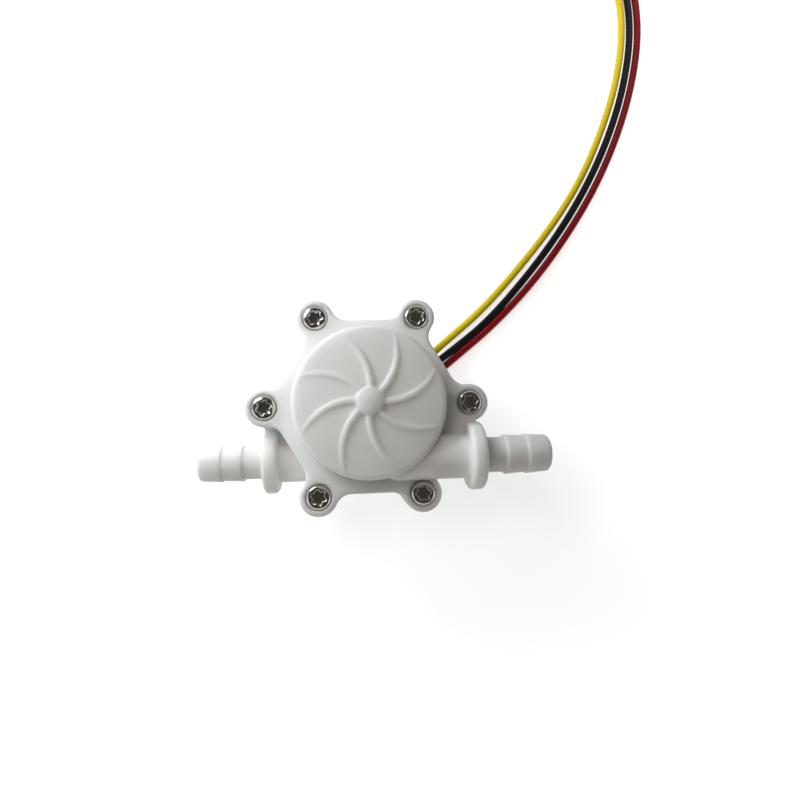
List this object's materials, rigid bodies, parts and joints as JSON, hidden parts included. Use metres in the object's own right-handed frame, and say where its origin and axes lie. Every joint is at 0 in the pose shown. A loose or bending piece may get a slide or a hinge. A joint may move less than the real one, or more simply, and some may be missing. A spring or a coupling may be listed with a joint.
{
  "type": "water flow sensor",
  "caption": "Turbine flow sensor in a hexagonal screwed plastic housing with a swirl-ribbed dome, two offset hose barbs and flying leads.",
  "frame": {"origin": "on the rotor's axis, at the flat back that the sensor rests on", "axes": "+Z along the rotor's axis towards the domed cover, +X along the outlet nozzle"},
  "size_m": [0.0939, 0.1354, 0.027],
  "materials": {
    "housing_white": "satin moulded white engineering plastic, slightly translucent",
    "lid_white": "satin moulded white plastic",
    "seal_rubber": "soft black nitrile rubber",
    "screw_nickel": "bright nickel plate, slightly warm",
    "shaft_steel": "ground stainless steel pin",
    "washer_steel": "stamped stainless steel",
    "rotor_plastic": "moulded natural acetal",
    "bush_grey": "grey bearing plastic",
    "magnet_black": "sintered ferrite, matt dark grey",
    "board_green": "green solder mask on glass laminate",
    "chip_black": "black moulded package",
    "lead_tin": "tinned copper leads",
    "resistor_black": "chip resistor, black film on ceramic",
    "capacitor_tan": "chip capacitor, tan ceramic",
    "solder_tin": "bright solder",
    "sealant_clear": "milky cured sealant",
    "wire_yellow": "yellow vinyl insulation, satin",
    "wire_black": "black vinyl insulation, satin",
    "wire_red": "dark red vinyl insulation, satin",
    "connector_white": "off-white moulded nylon",
    "terminal_tin": "tin-plated spring bronze"
  },
  "bodies": {
    "housing": {"body": "housing_white", "cover": "housing_white", "cover_seal": "seal_rubber", "cover_screws": "screw_nickel", "shaft": "shaft_steel", "lower_washer": "washer_steel", "upper_washer": "washer_steel", "circuit_board": "board_green", "hall_sensor": "chip_black", "hall_leads": "lead_tin", "pull_up_resistor": "resistor_black", "filter_capacitor": "capacitor_tan", "solder_joints": "solder_tin", "sensor_lid": "lid_white", "wire_seal": "sealant_clear", "wire_yellow": "wire_yellow", "wire_black": "wire_black", "wire_red": "wire_red", "connector_housing": "connector_white", "connector_terminals": "terminal_tin"},
    "rotor": {"impeller": "rotor_plastic", "magnet_ring": "magnet_black", "magnet_cap": "rotor_plastic", "lower_bush": "bush_grey", "upper_bush": "bush_grey"}
  },
  "joints": [
    {"name": "rotor_spin", "type": "hinge", "parent": "housing", "child": "rotor", "pos_m": [0, 0, 0.015], "axis": [0, 0, 1], "continuous": true}
  ]
}
